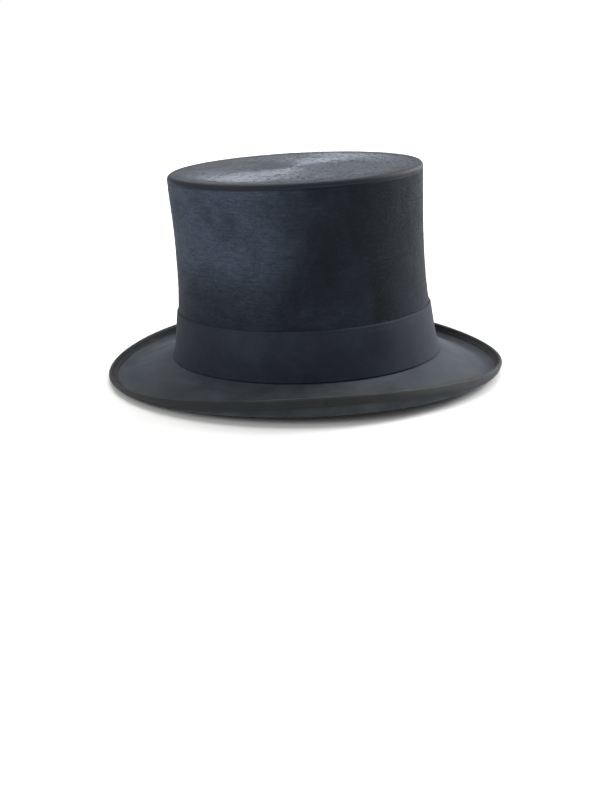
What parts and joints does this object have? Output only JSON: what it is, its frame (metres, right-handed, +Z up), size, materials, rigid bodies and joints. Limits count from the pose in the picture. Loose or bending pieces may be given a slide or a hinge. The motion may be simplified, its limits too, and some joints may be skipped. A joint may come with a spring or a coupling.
{
  "type": "top hat",
  "caption": "Tall waisted top hat with an oval rolled brim, a broad plain band, a bound edge, a leather sweatband and a satin lining.",
  "frame": {"origin": "on the surface the hat stands on, under the middle of the brim", "axes": "+Z up, +X towards the front of the hat, +Y towards the wearer's left"},
  "size_m": [0.3084, 0.2578, 0.1622],
  "materials": {
    "plush": "long-napped silk plush, brushed smooth, soft sheen",
    "gossamer": "cotton cloth stiffened with shellac, dull amber",
    "lining_satin": "cream satin, soft sheen",
    "band_cloth": "close matt wool cloth, blue-black",
    "band_ribbon": "ribbed grosgrain ribbon, blue-black",
    "sweat_leather": "tan sheepskin, worn and slightly glossy",
    "sweat_ribbon": "narrow ribbed ribbon, black",
    "ticket_card": "plain aged card",
    "brim_cloth": "short-napped merino cloth, blue-black",
    "binding_ribbon": "ribbed ribbon, black faded to grey-brown",
    "dark_thread": "waxed sewing thread, black",
    "reed_cane": "split cane, dull",
    "reed_oilcloth": "glazed cotton tape, brown",
    "leather_thread": "waxed linen thread, buff"
  },
  "bodies": {
    "root": {"side_plush": "plush", "tip_plush": "plush", "crown_side_shell": "gossamer", "crown_tip_shell": "gossamer", "side_lining": "lining_satin", "tip_lining": "lining_satin", "hat_band": "band_cloth", "band_bow_loops": "band_ribbon", "band_bow_knot": "band_ribbon", "brim_collar": "gossamer", "sweatband": "sweat_leather", "sweatband_bow": "sweat_ribbon", "size_ticket": "ticket_card", "brim_board": "gossamer", "brim_top_cover": "brim_cloth", "brim_under_cover": "brim_cloth", "brim_edge_binding": "binding_ribbon", "binding_stitching": "dark_thread", "sweatband_reed": "reed_cane", "reed_tape": "reed_oilcloth", "sweatband_stitching": "leather_thread"}
  },
  "joints": []
}
